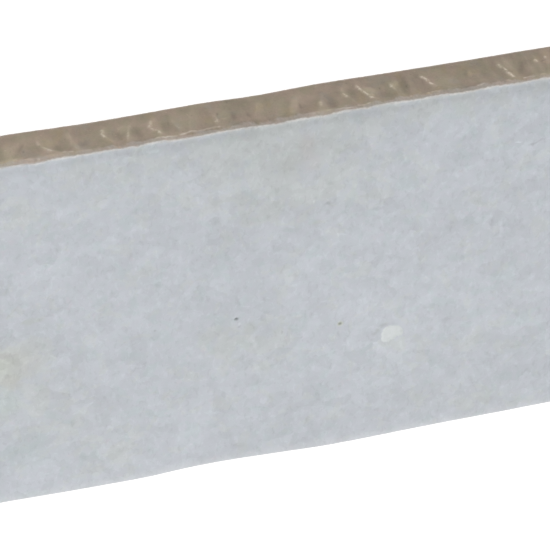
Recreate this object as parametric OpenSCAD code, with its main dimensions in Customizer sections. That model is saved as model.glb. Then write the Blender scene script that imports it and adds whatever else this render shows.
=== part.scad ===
// Ceramic tile: one long, narrow strip of glazed, pressed stoneware.
// It lies flat on its back with the glazed face up. X runs along the
// strip, Y across it and Z through its thickness. The origin is the centre
// of the back, on the surface that the strip lies on.
//
// One long edge (+Y) is a plain upright break, where the strip was parted
// from a wider tile. The other long edge (-Y) and both short ends are
// pressed edges: an arris rounded under the glaze, an upright land below
// it and a slope that draws in towards the back.

/* [Strip] */
// Length of the strip
tile_l = 450; // [200:1:600]
// Width of the strip, from the pressed long edge to the broken one
tile_w = 80; // [60:1:150]
// Thickness at the ribs of the back
tile_t = 8.5; // [7:0.1:12]

/* [Pressed edges] */
// Radius of the rounded arris round the glazed face
arris_r = 1.6; // [0.5:0.1:2.5]
// Height of the arris and the upright land together
land_h = 4.5; // [3:0.1:6]
// How far the edge draws in from the land to the back
draft_in = 0.8; // [0.2:0.1:2]

/* [Back] */
// Depth of the pressed keying recesses
key_depth = 0.5; // [0.2:0.1:0.8]
// Width of the ribs between the recesses
key_rib = 4; // [3:0.5:8]
// Plain border between the pressed edges and the first recess
key_border = 15; // [10:0.5:20]
// Number of recesses along the strip
key_count = 19; // [8:1:24]
// Corner radius of a recess
key_corner = 2; // [1:0.5:3]

/* [Hidden] */
$fn = 64;
key_pitch = (tile_l - 2 * key_border + key_rib) / key_count;
key_cell = key_pitch - key_rib;
// Least rib left along the broken edge, so that the break crosses no recess
last_rib = 1;
key_rows = floor((tile_w - key_border + key_rib - last_rib) / key_pitch);
// How far a cutting shape runs past the faces that it cuts
over = 1;

// Half of an upright section: a pressed edge at x = 0, facing -X, with the
// stock running to x = depth.
module pressed_section(depth) {
    polygon([
        [draft_in, 0],
        [depth, 0],
        [depth, tile_t],
        [arris_r, tile_t],
        [0, tile_t - arris_r],
        [0, tile_t - land_h]
    ]);
    translate([arris_r, tile_t - arris_r]) circle(r = arris_r);
}

// The strip's section across its width, drawn out along X.
module across() {
    translate([-tile_l / 2 - over, 0, 0])
        rotate([90, 0, 90])
            linear_extrude(height = tile_l + 2 * over)
                translate([-tile_w / 2, 0]) pressed_section(tile_w);
}

// The strip's section along its length, drawn out along Y.
module along() {
    translate([0, tile_w / 2 + over, 0])
        rotate([90, 0, 0])
            linear_extrude(height = tile_w + 2 * over)
                union() {
                    translate([-tile_l / 2, 0]) pressed_section(tile_l / 2);
                    mirror([1, 0]) translate([-tile_l / 2, 0]) pressed_section(tile_l / 2);
                }
}

// Outline of one keying recess, with rounded corners.
module recess_outline() {
    c = key_corner;
    translate([c, 0]) square([key_cell - 2 * c, key_cell]);
    translate([0, c]) square([key_cell, key_cell - 2 * c]);
    for (x = [c, key_cell - c], y = [c, key_cell - c])
        translate([x, y]) circle(r = c);
}

// The grid of shallow recesses pressed into the back.
module keying() {
    for (i = [0 : key_count - 1], j = [0 : key_rows - 1])
        translate([
            -tile_l / 2 + key_border + i * key_pitch,
            -tile_w / 2 + key_border + j * key_pitch,
            -over
        ])
            linear_extrude(height = key_depth + over) recess_outline();
}

module tile() {
    color([0.76, 0.78, 0.80])
        difference() {
            intersection() {
                across();
                along();
            }
            keying();
        }
}

tile();
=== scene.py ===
"""A strip of glazed ceramic tile, lying on its back with one long edge broken.

Lengths are in millimetres while the mesh is made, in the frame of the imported
part: X along the strip, Y across it towards the broken edge, Z up out of the
glazed face. The mesh is turned into metres at the end.
"""
import math

import bpy
import numpy as np
from mathutils import Matrix, Vector


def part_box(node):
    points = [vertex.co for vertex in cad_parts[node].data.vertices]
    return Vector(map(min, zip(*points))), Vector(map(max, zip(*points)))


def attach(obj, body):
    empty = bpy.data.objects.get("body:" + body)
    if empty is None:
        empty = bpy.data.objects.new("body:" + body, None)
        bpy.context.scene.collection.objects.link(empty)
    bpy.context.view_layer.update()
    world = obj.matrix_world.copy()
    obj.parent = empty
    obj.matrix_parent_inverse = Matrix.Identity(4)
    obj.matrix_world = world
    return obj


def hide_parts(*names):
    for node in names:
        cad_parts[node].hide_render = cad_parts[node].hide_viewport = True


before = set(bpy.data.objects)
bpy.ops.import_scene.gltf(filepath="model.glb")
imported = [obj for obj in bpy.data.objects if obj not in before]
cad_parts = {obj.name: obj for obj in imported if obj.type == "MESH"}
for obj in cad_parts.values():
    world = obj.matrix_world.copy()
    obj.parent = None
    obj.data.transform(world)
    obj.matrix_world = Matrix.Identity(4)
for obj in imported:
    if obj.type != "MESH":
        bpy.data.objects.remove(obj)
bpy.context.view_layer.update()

part_low, part_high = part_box("tile")

# ---------------------------------------------------------------- sizes, mm
MM = 0.001
HX = (part_high.x - part_low.x) / 2 / MM  # half the length
HY = (part_high.y - part_low.y) / 2 / MM  # half the width
T = (part_high.z - part_low.z) / MM  # thickness
ARRIS = 1.6  # radius of the rounded arris on the pressed edges
LAND = 4.5  # height of arris and upright land together
DRAFT = 0.8  # how far the edge draws in to the back
CX, CY = HX - ARRIS, HY - ARRIS  # where the flat face meets the arris
KEY_RIB, KEY_BORDER, KEY_COUNT, KEY_DEPTH, KEY_CORNER = 4.0, 15.0, 19, 0.5, 2.0
KEY_PITCH = (2 * HX - 2 * KEY_BORDER + KEY_RIB) / KEY_COUNT
KEY_CELL = KEY_PITCH - KEY_RIB
SEEN = 58.0  # the stretch from -SEEN to SEEN gets the finest mesh


# ---------------------------------------------------------------- noise
def lattice(ix, iy, seed):
    """A number from 0 to 1 for each point of a whole-number grid."""
    h = (ix * 374761393 + iy * 668265263 + seed * 974634777) & 0xFFFFFFFF
    h = ((h ^ (h >> 13)) * 1274126177) & 0xFFFFFFFF
    h = h ^ (h >> 16)
    return (h & 0xFFFFFF) / 16777216.0


def noise(x, y, seed=0):
    """Smooth noise from about -1 to 1, with features one unit across."""
    x, y = np.broadcast_arrays(np.asarray(x, float), np.asarray(y, float))
    fx, fy = np.floor(x), np.floor(y)
    ix, iy = fx.astype(np.int64), fy.astype(np.int64)
    fx, fy = x - fx, y - fy
    ux = fx * fx * fx * (fx * (fx * 6 - 15) + 10)
    uy = fy * fy * fy * (fy * (fy * 6 - 15) + 10)

    def corner(dx, dy):
        a = lattice(ix + dx, iy + dy, seed) * 2 * math.pi
        return np.cos(a) * (fx - dx) + np.sin(a) * (fy - dy)

    low = corner(0, 0) * (1 - ux) + corner(1, 0) * ux
    high = corner(0, 1) * (1 - ux) + corner(1, 1) * ux
    return (low * (1 - uy) + high * uy) * 1.5


def layered(x, y, seed=0, octaves=3, gain=0.5):
    total, size, weight = 0.0, 1.0, 0.0
    for k in range(octaves):
        total = total + size * noise(x * 2**k, y * 2**k, seed + 17 * k)
        weight += size
        size *= gain
    return total / weight


def step(a, b, x):
    """0 below a, 1 above b, smooth between."""
    t = np.clip((x - a) / (b - a), 0, 1)
    return t * t * (3 - 2 * t)


def hump(x, centre, half):
    """1 at centre, falling to 0 half away from it."""
    t = np.clip(1 - ((x - centre) / half) ** 2, 0, 1)
    return t * t


# ---------------------------------------------------------------- broken edge
# Hackle ridges of the break, left to right. Each is a line of points (x, z, how crushed and pale its crest is there,
# with a painted highlight in that paleness). Between two ridges the break is a bowl.
RIDGES = [
    [(-51.6, 2.0, 0.1), (-50.8, 4.2, 0.4), (-50.2, 6.2, 0.2)],
    [(-43.2, 2.3, 0.2), (-43.9, 2.6, 0.3), (-44.9, 3.2, 0.4), (-45.2, 4.2, 0.4), (-45.4, 5.2, 0.5), (-45.9, 6.2, 0.3)],
    [(-40.6, 2.6, 0.0), (-40.5, 3.6, 0.7), (-40.4, 4.3, 0.4), (-39.9, 4.9, 0.6), (-39.4, 5.3, 0.75), (-38.8, 5.9, 0.75), (-38.3, 6.2, 0.2)],
    [(-35.0, 2.2, 0.4), (-34.8, 3.4, 0.4), (-35.2, 4.7, 0.5), (-35.0, 5.9, 0.4), (-34.8, 6.9, 0.1)],
    [(-28.9, 2.4, 0.3), (-29.2, 2.9, 1.0), (-29.4, 3.5, 0.8), (-29.2, 4.4, 1.0), (-29.0, 4.9, 0.4), (-28.0, 6.6, 0.3)],
    [(-24.5, 2.8, 0.6), (-24.9, 3.7, 0.5), (-25.1, 4.7, 0.8), (-25.4, 5.9, 0.6), (-25.6, 7.1, 0.4)],
    [(-20.7, 2.5, 0.9), (-20.9, 3.2, 0.75), (-21.1, 3.8, 0.75), (-20.9, 4.3, 0.6), (-20.6, 4.7, 1.0), (-20.2, 4.9, 0.8), (-19.9, 5.2, 0.7), (-19.9, 5.9, 0.9)],
    [(-17.1, 2.6, 0.1), (-17.0, 3.4, 0.5), (-16.9, 4.4, 0.5), (-16.5, 5.2, 0.6), (-16.3, 5.8, 0.4)],
    [(-13.7, 2.4, 0.2), (-14.0, 3.2, 0.3), (-14.2, 4.2, 0.1)],
    [(-10.0, 3.2, 0.0), (-9.5, 4.6, 0.6), (-9.7, 5.3, 0.85), (-9.8, 6.2, 0.1)],
    [(-5.9, 3.0, 0.0), (-5.6, 5.6, 0.2), (-5.0, 7.4, 0.2)],
    [(-1.9, 2.4, 0.4), (-2.1, 3.6, 0.4), (-2.7, 4.8, 0.2), (-2.9, 5.6, 0.2), (-1.9, 7.2, 0.2)],
    [(0.8, 4.4, 0.1), (0.9, 5.2, 0.2), (0.5, 6.3, 0.2), (-0.6, 7.5, 0.1)],
    [(5.0, 2.9, 0.4), (4.8, 4.2, 0.3), (4.5, 5.2, 0.4), (3.8, 6.2, 0.3), (3.3, 7.2, 0.2)],
    [(9.4, 3.2, 0.0), (9.1, 4.6, 0.5), (8.9, 5.3, 0.7), (8.5, 6.1, 0.4), (8.0, 7.0, 0.2)],
    [(13.5, 2.1, 0.4), (13.1, 2.8, 0.5), (13.2, 3.5, 0.5), (13.45, 4.0, 1.0), (13.75, 4.4, 0.9), (13.9, 4.9, 0.1)],
    [(16.1, 2.4, 1.0), (16.5, 3.3, 1.0), (17.0, 4.1, 0.9), (17.6, 5.0, 1.0), (18.0, 5.9, 0.9), (18.3, 6.6, 0.1)],
    [(22.2, 2.6, 0.1), (22.0, 3.4, 1.0), (22.0, 4.0, 1.0), (22.2, 4.5, 0.6), (22.5, 5.2, 0.5), (22.6, 6.2, 0.5)],
    [(25.4, 2.0, 0.1), (25.0, 4.2, 0.2), (25.2, 6.0, 0.1)],
    [(27.6, 2.3, 0.8), (28.1, 2.8, 1.0), (28.5, 3.4, 0.9), (28.6, 4.2, 1.0), (29.0, 4.9, 1.0), (29.5, 5.6, 0.6), (29.9, 5.9, 0.2)],
    [(36.2, 2.8, 0.2), (36.4, 3.6, 0.4), (36.8, 4.4, 0.3), (37.4, 5.4, 0.3)],
    [(39.6, 2.0, 0.1), (39.5, 4.0, 0.2), (39.7, 5.6, 0.1)],
    [(41.8, 2.8, 1.0), (42.1, 3.4, 0.9), (42.4, 4.1, 1.0), (42.6, 4.9, 0.9), (43.0, 5.6, 1.0), (43.3, 6.4, 1.0), (43.5, 7.0, 0.3)],
    [(46.8, 2.2, 0.1), (46.7, 4.5, 0.2), (46.9, 6.5, 0.1)],
    [(48.2, 2.7, 0.1), (48.4, 3.3, 1.0), (48.5, 3.8, 0.2), (48.4, 5.8, 0.1)],
    [(50.3, 2.3, 0.2), (50.3, 2.7, 0.9), (50.1, 3.2, 0.2), (49.9, 6.0, 0.1)],
]
# Paler and darker places of the break: (x, z, half sizes, lean, how much paler). The paler ones are raised a little and
# the darker ones sunk, and most of them are painted light and shade on that relief.
SHADE_AND_TONE_PLACES = [
    (-46.2, 4.4, 0.9, 2.4, -0.1, 7), (-43.8, 3.9, 0.5, 1.3, -0.6, -5), (-38.5, 3.6, 0.6, 1.4, 0.0, 3),
    (-39.0, 6.2, 1.2, 0.25, 0.0, 5), (-39.4, 5.4, 0.8, 0.75, 0.4, 8), (-40.5, 3.8, 0.3, 0.6, 0.0, 3), (-37.5, 5.2, 0.9, 0.9, 0.3, -4.5), (-34.3, 5.6, 0.5, 1.4, 0.1, 5),
    (-32.8, 5.0, 1.0, 1.0, 0.0, -4), (-33.8, 1.8, 1.1, 1.2, 0.0, -3), (-35.1, 3.5, 0.6, 1.2, 0.0, 4), (-28.6, 5.6, 0.5, 1.0, 0.5, 4),
    (-26.8, 4.8, 0.9, 1.3, 0.1, -4), (-25.8, 3.1, 1.1, 0.9, 0.0, 7), (-23.6, 4.3, 1.0, 1.9, 0.05, -6.5),
    (-22.4, 4.6, 0.5, 1.7, 0.1, 1.5), (-18.6, 4.4, 0.7, 1.3, 0.1, -4.5), (-17.6, 1.4, 2.2, 1.0, 0.0, -2), (-17.7, 3.8, 0.35, 0.8, 0.0, -4),
    (-14.8, 4.4, 1.2, 1.6, 0.0, 1), (-12.6, 5.6, 1.3, 1.2, 0.0, -2.5), (-11.6, 3.2, 0.14, 0.8, 0.1, -4), (-10.9, 2.9, 0.14, 0.8, 0.1, -4),
    (-9.15, 4.0, 0.14, 0.7, -0.1, -10), (-8.1, 4.8, 0.9, 0.2, 0.0, 5), (-7.8, 3.5, 0.8, 0.9, 0.0, 3),
    (-6.4, 4.5, 0.45, 1.2, 0.0, -5), (-5.2, 3.9, 2.4, 4.4, 0.0, -5.5), (-4.6, 7.0, 0.5, 0.9, 0.0, 3.5), (-3.9, 4.8, 0.35, 0.8, 0.2, -4.5),
    (-2.0, 3.0, 0.25, 0.7, 0.0, 6), (0.2, 6.4, 0.13, 1.2, -0.5, -5), (4.0, 4.8, 0.9, 2.2, -0.3, 9), (5.6, 3.6, 2.6, 2.2, 0.0, 1.5),
    (5.4, 5.0, 0.35, 0.8, 0.0, -6.5), (6.1, 5.1, 0.25, 0.8, 0.0, -4), (8.7, 5.3, 0.5, 0.8, -0.3, 7),
    (10.8, 5.0, 0.85, 1.9, 0.1, -8), (14.9, 4.4, 0.7, 1.8, 0.2, -4.5), (13.2, 2.9, 0.5, 0.7, 0.0, 5),
    (18.2, 3.6, 1.1, 1.1, 0.4, 8), (20.2, 3.2, 0.8, 0.9, 0.0, 3), (7.8, 3.0, 0.9, 0.9, 0.0, 2.5), (18.3, 5.0, 0.3, 0.5, 0.2, 6), (20.3, 5.3, 1.0, 1.1, 0.1, -3), (-8.2, 5.6, 2.0, 1.0, 0.0, -1.5), (-35.4, 2.9, 0.8, 0.9, 0.0, 2.5), (38.0, 3.0, 1.0, 0.9, 0.0, 1.5), (50.0, 5.2, 0.9, 1.0, 0.0, -2.5),
    (22.8, 3.2, 0.45, 1.1, -0.4, 5), (24.2, 4.1, 0.9, 1.9, 0.0, -6), (32.0, 3.9, 1.5, 1.8, 0.1, 3), (28.6, 5.4, 1.2, 0.9, 0.3, 2), (25.3, 1.3, 1.2, 0.8, 0.0, 1.5),
    (36.1, 3.8, 0.45, 0.7, 0.1, 6), (38.6, 4.1, 0.6, 1.6, -0.1, -1), (43.5, 3.2, 0.7, 1.9, 0.2, 6), (43.4, 1.6, 1.3, 1.1, 0.2, 4), (30.5, 1.3, 2.4, 0.9, 0.0, 1.8), (-38.5, 1.3, 1.6, 0.9, 0.0, -2), (-28.0, 1.3, 1.6, 0.9, 0.0, -2), (-1.0, 1.4, 1.6, 0.9, 0.0, -2),
    (45.4, 4.2, 0.6, 1.9, -0.3, -5), (48.2, 3.2, 0.5, 0.4, 0.0, 4), (46.9, 3.2, 0.9, 1.3, 0.0, -5), (50.3, 1.3, 1.1, 1.1, 0.0, 5), (49.5, 3.4, 0.5, 0.12, 0.0, -7),
    # pits, sunk and painted with the shade in them
    (-45.5, 4.7, 0.16, 0.2, 0, -8), (-43.3, 4.8, 0.15, 0.2, 0, -20), (-35.8, 3.5, 0.14, 0.18, 0, -12),
    (-13.4, 2.7, 0.14, 0.17, 0, -16), (-9.0, 3.4, 0.17, 0.22, 0, -20), (20.0, 3.5, 0.16, 0.2, 0, -18),
    (24.6, 4.2, 0.14, 0.2, 0, -15), (-7.0, 6.9, 0.13, 0.17, 0, -14), (17.0, 6.6, 0.14, 0.17, 0, -10),
    (14.7, 1.0, 0.15, 0.2, 0, -14), (-6.6, 0.7, 0.14, 0.17, 0, -12),
    # pale specks, and pale places under the glaze
    (9.2, 0.8, 0.15, 0.18, 0, 18), (-42.8, 7.2, 0.8, 0.35, 0, 9), (-39.0, 7.5, 1.5, 0.4, 0, 6),
    (-45.3, 7.0, 0.4, 0.3, 0, 7), (-41.3, 7.7, 0.4, 0.4, 0, 14), (2.0, 7.5, 1.5, 0.4, 0, 3),
    (7.0, 7.5, 1.5, 0.35, 0, 9), (9.7, 7.3, 0.8, 0.35, 0, 9), (27.6, 7.4, 0.4, 0.5, 0, 9),
    (32.4, 7.0, 1.4, 0.9, 0, 5), (31.3, 7.3, 0.18, 0.3, 0, 16), (31.9, 7.5, 0.18, 0.2, 0, 14),
    (32.7, 7.2, 0.18, 0.3, 0, 14), (33.3, 7.5, 0.18, 0.25, 0, 12), (31.7, 6.2, 0.22, 0.22, 0, 10),
    (32.9, 6.3, 0.22, 0.2, 0, 10), (33.6, 6.4, 0.2, 0.2, 0, 9), (24.5, 7.4, 0.16, 0.25, 0, 22),
    (23.6, 7.6, 0.6, 0.25, 0, 10), (-29.3, 7.7, 0.25, 0.25, 0, 14), (-1.0, 7.3, 0.15, 0.15, 0, 14),
    (48.4, 7.4, 0.6, 0.3, 0, 9), (42.1, 7.4, 0.35, 0.3, 0, 12), (-33.0, 7.5, 2.2, 0.4, 0, 5),
    (-7.2, 7.6, 0.18, 0.3, 0, 12),
]
# Lips of thin flakes just under the glaze: points (x, z, how pale)
LIPS = [
    [(-37.3, 6.7, 0.3), (-36.4, 6.8, 0.6), (-35.2, 7.1, 0.5)],
    [(-20.8, 7.5, 0.5), (-19.9, 7.3, 0.8), (-19.0, 7.6, 1.0), (-18.5, 7.2, 0.8), (-17.5, 7.3, 0.6), (-16.0, 7.2, 0.9), (-14.5, 6.9, 0.8), (-12.0, 6.8, 0.6), (-9.5, 6.9, 0.7)],
    [(11.0, 7.5, 0.4), (12.0, 7.7, 0.6), (13.6, 7.8, 0.5)],
    [(15.0, 7.3, 0.5), (16.3, 7.5, 0.9), (17.3, 7.2, 0.8)],
    [(27.8, 7.1, 0.5), (28.8, 7.0, 0.6), (29.7, 7.2, 0.5)],
    [(36.6, 7.3, 0.8), (38.0, 7.2, 0.3)],
    [(45.1, 7.2, 0.9), (46.0, 7.25, 0.8), (46.8, 7.45, 0.6)],
]
# Slits under them, cut in as grooves and painted with shadow: (x from, x to, z, how dark)
SHADED_SLITS = [
    (-18.2, -8.6, 7.45, 5), (11.2, 16.4, 7.25, 5), (18.6, 19.6, 7.0, 6), (45.0, 47.2, 6.75, 4),
    (-30.5, -29.4, 7.1, 3), (-44.2, -42.4, 6.45, 3), (28.8, 31.4, 7.7, 3), (-37.0, -35.0, 6.45, 4),
]
# How far the outer line of the break wanders at the back, where it is seen, outwards positive
BACK_LINE = [
    (-60, 0.10), (-47.4, 0.22), (-38.4, 0.02), (-31.3, -0.18), (-24.1, -0.11),
    (-13.2, 0.07), (-9.6, 0.09), (-5.9, -0.04), (-0.4, -0.18), (5.1, 0.02),
    (8.7, 0.16), (16.1, 0.13), (25.4, 0.02), (36.6, -0.07), (44.0, 0.0),
    (51.6, -0.07), (60, 0.05),
]
# How much paler the break is along its seen stretch
BREAK_TONE = [(-62, 0), (-46, 2.5), (-34, 0.5), (-22, 0.5), (-13, 1.5), (0, 1.5), (9, -3), (20, -4.5), (38, -5.5), (52, -3.5), (62, 0)]
# How much paler it is close under the glaze
RIM_TONE = [
    (-62, 0), (-47, 19), (-41, 17), (-34, 6), (-28, -1), (-24, -9), (-20, 3), (-17, 8), (-12, -6), (-8, 3), (-5, -20),
    (-1, -4), (2, -9), (5, -4), (10, 9), (14, 1), (18, 2), (22, -3), (28, 3), (32, -6), (38, -8), (43, 5), (50, 10), (62, 0),
]
# How far the broken rim of the face wanders, outwards positive
RIM_LINE = [
    (-60, 0.05), (-48, 0.18), (-44.5, 0.2), (-42, -0.08), (-38.5, 0.15), (-34, 0.0), (-29.5, 0.1), (-26, -0.08), (-20.5, 0.24),
    (-17, -0.12), (-10, -0.02), (-5, 0.0), (0.5, -0.28), (4.5, 0.0), (9, -0.16), (11.5, 0.2), (15, 0.0), (20, 0.28),
    (25, 0.0), (29, 0.07), (33.5, -0.15), (39.5, 0.07), (44.5, -0.17), (48, 0.05), (50.5, -0.18), (60, 0.0),
]
# How much paler the glaze is close beside it
RIM_SHADE = [(-62, 0), (-50, 5), (-38, 4), (-24, 2), (-5, 0.5), (10, 0), (28, 0), (40, -3.4), (52, -2.6), (62, 0)]
# How far the pressed long edge wanders, outwards positive
FRONT_LINE = [
    (-62, -0.05), (-52.9, -0.13), (-33.8, 0.13), (-22.2, 0.05), (-18.4, -0.23),
    (-14.5, -0.41), (-6.7, -0.36), (-2.8, -0.18), (3.1, 0.08), (9.0, 0.36),
    (16.8, 0.36), (24.7, 0.16), (34.7, 0.0), (44.7, -0.08), (52.7, -0.21), (62, -0.1),
]


def smooth_line(x, points):
    """A smooth line through (x, value) points, level beyond them."""
    px = np.array([p[0] for p in points], float)
    py = np.array([p[1] for p in points], float)
    slope = np.gradient(py, px)
    slope[0] = slope[-1] = 0
    x = np.clip(x, px[0], px[-1])
    k = np.clip(np.searchsorted(px, x, side="right") - 1, 0, len(px) - 2)
    h = px[k + 1] - px[k]
    t = (x - px[k]) / h
    return (
        (2 * t**3 - 3 * t**2 + 1) * py[k]
        + (t**3 - 2 * t**2 + t) * h * slope[k]
        + (3 * t**2 - 2 * t**3) * py[k + 1]
        + (t**3 - t**2) * h * slope[k + 1]
    )


def rest_of_break():
    """The features above, and others like them along the rest of the strip."""
    rng = np.random.default_rng(41)
    ridges, places, lips, shaded_slits = list(RIDGES), list(SHADE_AND_TONE_PLACES), list(LIPS), list(SHADED_SLITS)
    for side in (-1, 1):
        x = -45.0 if side < 0 else 50.3
        while abs(x) < HX + 8:
            x += side * rng.uniform(2.4, 6.2)
            crest = float(rng.choice([0.15, 0.3, 0.5, 0.9, 1.0]))
            lean, bend = rng.uniform(-0.1, 0.55), rng.uniform(-0.06, 0.08)
            low, high = rng.uniform(2.0, 3.4), rng.uniform(4.6, 6.9)
            if x < -50 or x > 52:
                ridges.append([
                    (x + lean * (z - 4) + bend * (z - 4) ** 2 + rng.uniform(-0.15, 0.15), z, crest * rng.uniform(0.4, 1.0))
                    for z in np.linspace(low, high, 6)
                ])
            # places like those seen: painted light just past a ridge, painted shade further on, pits painted with
            # shade, and pale places under the glaze
            if rng.random() < 0.7:
                places.append((x + rng.uniform(0.5, 1.1), rng.uniform(2.8, 4.8), rng.uniform(0.4, 0.8), rng.uniform(0.7, 1.7), lean, rng.uniform(2.5, 5)))
            if rng.random() < 0.7:
                places.append((x + rng.uniform(1.4, 2.4), rng.uniform(3.6, 5.0), rng.uniform(0.4, 0.9), rng.uniform(1.0, 2.0), lean / 2, -rng.uniform(3, 8)))
            if rng.random() < 0.35:
                places.append((x + rng.uniform(-2, 2), rng.uniform(0.6, 6.8), 0.15, 0.19, 0, -rng.uniform(8, 20)))
            if rng.random() < 0.5:
                places.append((x, rng.uniform(7.2, 7.7), rng.uniform(0.3, 1.6), rng.uniform(0.25, 0.45), 0, rng.uniform(4, 11)))
            if rng.random() < 0.25:
                long, z = rng.uniform(1.5, 6.5), rng.uniform(6.8, 7.5)
                lips.append([(x + long * k / 4, z + rng.uniform(-0.15, 0.15), rng.uniform(0.4, 0.9)) for k in range(5)])
                shaded_slits.append((x, x + long, z + 0.35, rng.uniform(3, 5)))
    keep = [p for p in places[len(SHADE_AND_TONE_PLACES):] if p[0] < -48 or p[0] > 51]
    lips = LIPS + [l for l in lips[len(LIPS):] if l[-1][0] < -48 or l[0][0] > 51]
    shaded_slits = SHADED_SLITS + [s for s in shaded_slits[len(SHADED_SLITS):] if s[1] < -48 or s[0] > 51]
    ridges.sort(key=lambda r: sum(p[0] for p in r) / len(r))
    return ridges, SHADE_AND_TONE_PLACES + keep, lips, shaded_slits


ALL_RIDGES, ALL_SHADE_AND_TONE_PLACES, ALL_LIPS, ALL_SHADED_SLITS = rest_of_break()


def ridge_x(points, z):
    """Where a ridge is at height z, running straight on beyond its ends."""
    px = np.array([p[0] for p in points], float)
    pz = np.array([p[1] for p in points], float)
    x = np.interp(z, pz, px)
    first = (px[1] - px[0]) / (pz[1] - pz[0])
    last = (px[-1] - px[-2]) / (pz[-1] - pz[-2])
    x = x + np.where(z < pz[0], (z - pz[0]) * np.clip(first, -0.4, 0.4), 0)
    return x + np.where(z > pz[-1], (z - pz[-1]) * np.clip(last, -0.3, 0.3), 0)


def stroke(x, z, points, half):
    """A line through points (x, z, strength), fading out over half."""
    out = np.zeros_like(x)
    for (x0, z0, b0), (x1, z1, b1) in zip(points, points[1:]):
        near = (x > min(x0, x1) - 1.5) & (x < max(x0, x1) + 1.5)
        dx, dz = x1 - x0, z1 - z0
        t = np.clip(((x[near] - x0) * dx + (z[near] - z0) * dz) / (dx * dx + dz * dz), 0, 1)
        d = np.hypot(x[near] - x0 - t * dx, z[near] - z0 - t * dz)
        out[near] = np.maximum(out[near], (b0 + (b1 - b0) * t) * np.exp(-((d / half) ** 2)))
    return out


def rim_chips(x):
    """How far the glaze is nibbled back along the broken rim."""
    small = np.clip(layered(x / 0.9, x * 0 + 3.3, 5, 3) - 0.02, 0, 1)
    large = np.clip(layered(x / 4.3, x * 0 + 8.1, 9, 2) - 0.16, 0, 1)
    chips = 0.20 * small + 0.5 * large * (1 - step(-54, -50, x) * (1 - step(50, 54, x)))
    for centre, half, deep in ((-24.2, 1.1, 0.2), (16.2, 1.4, 0.12)):
        chips = chips + deep * hump(x, centre, half)
    return chips


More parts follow.
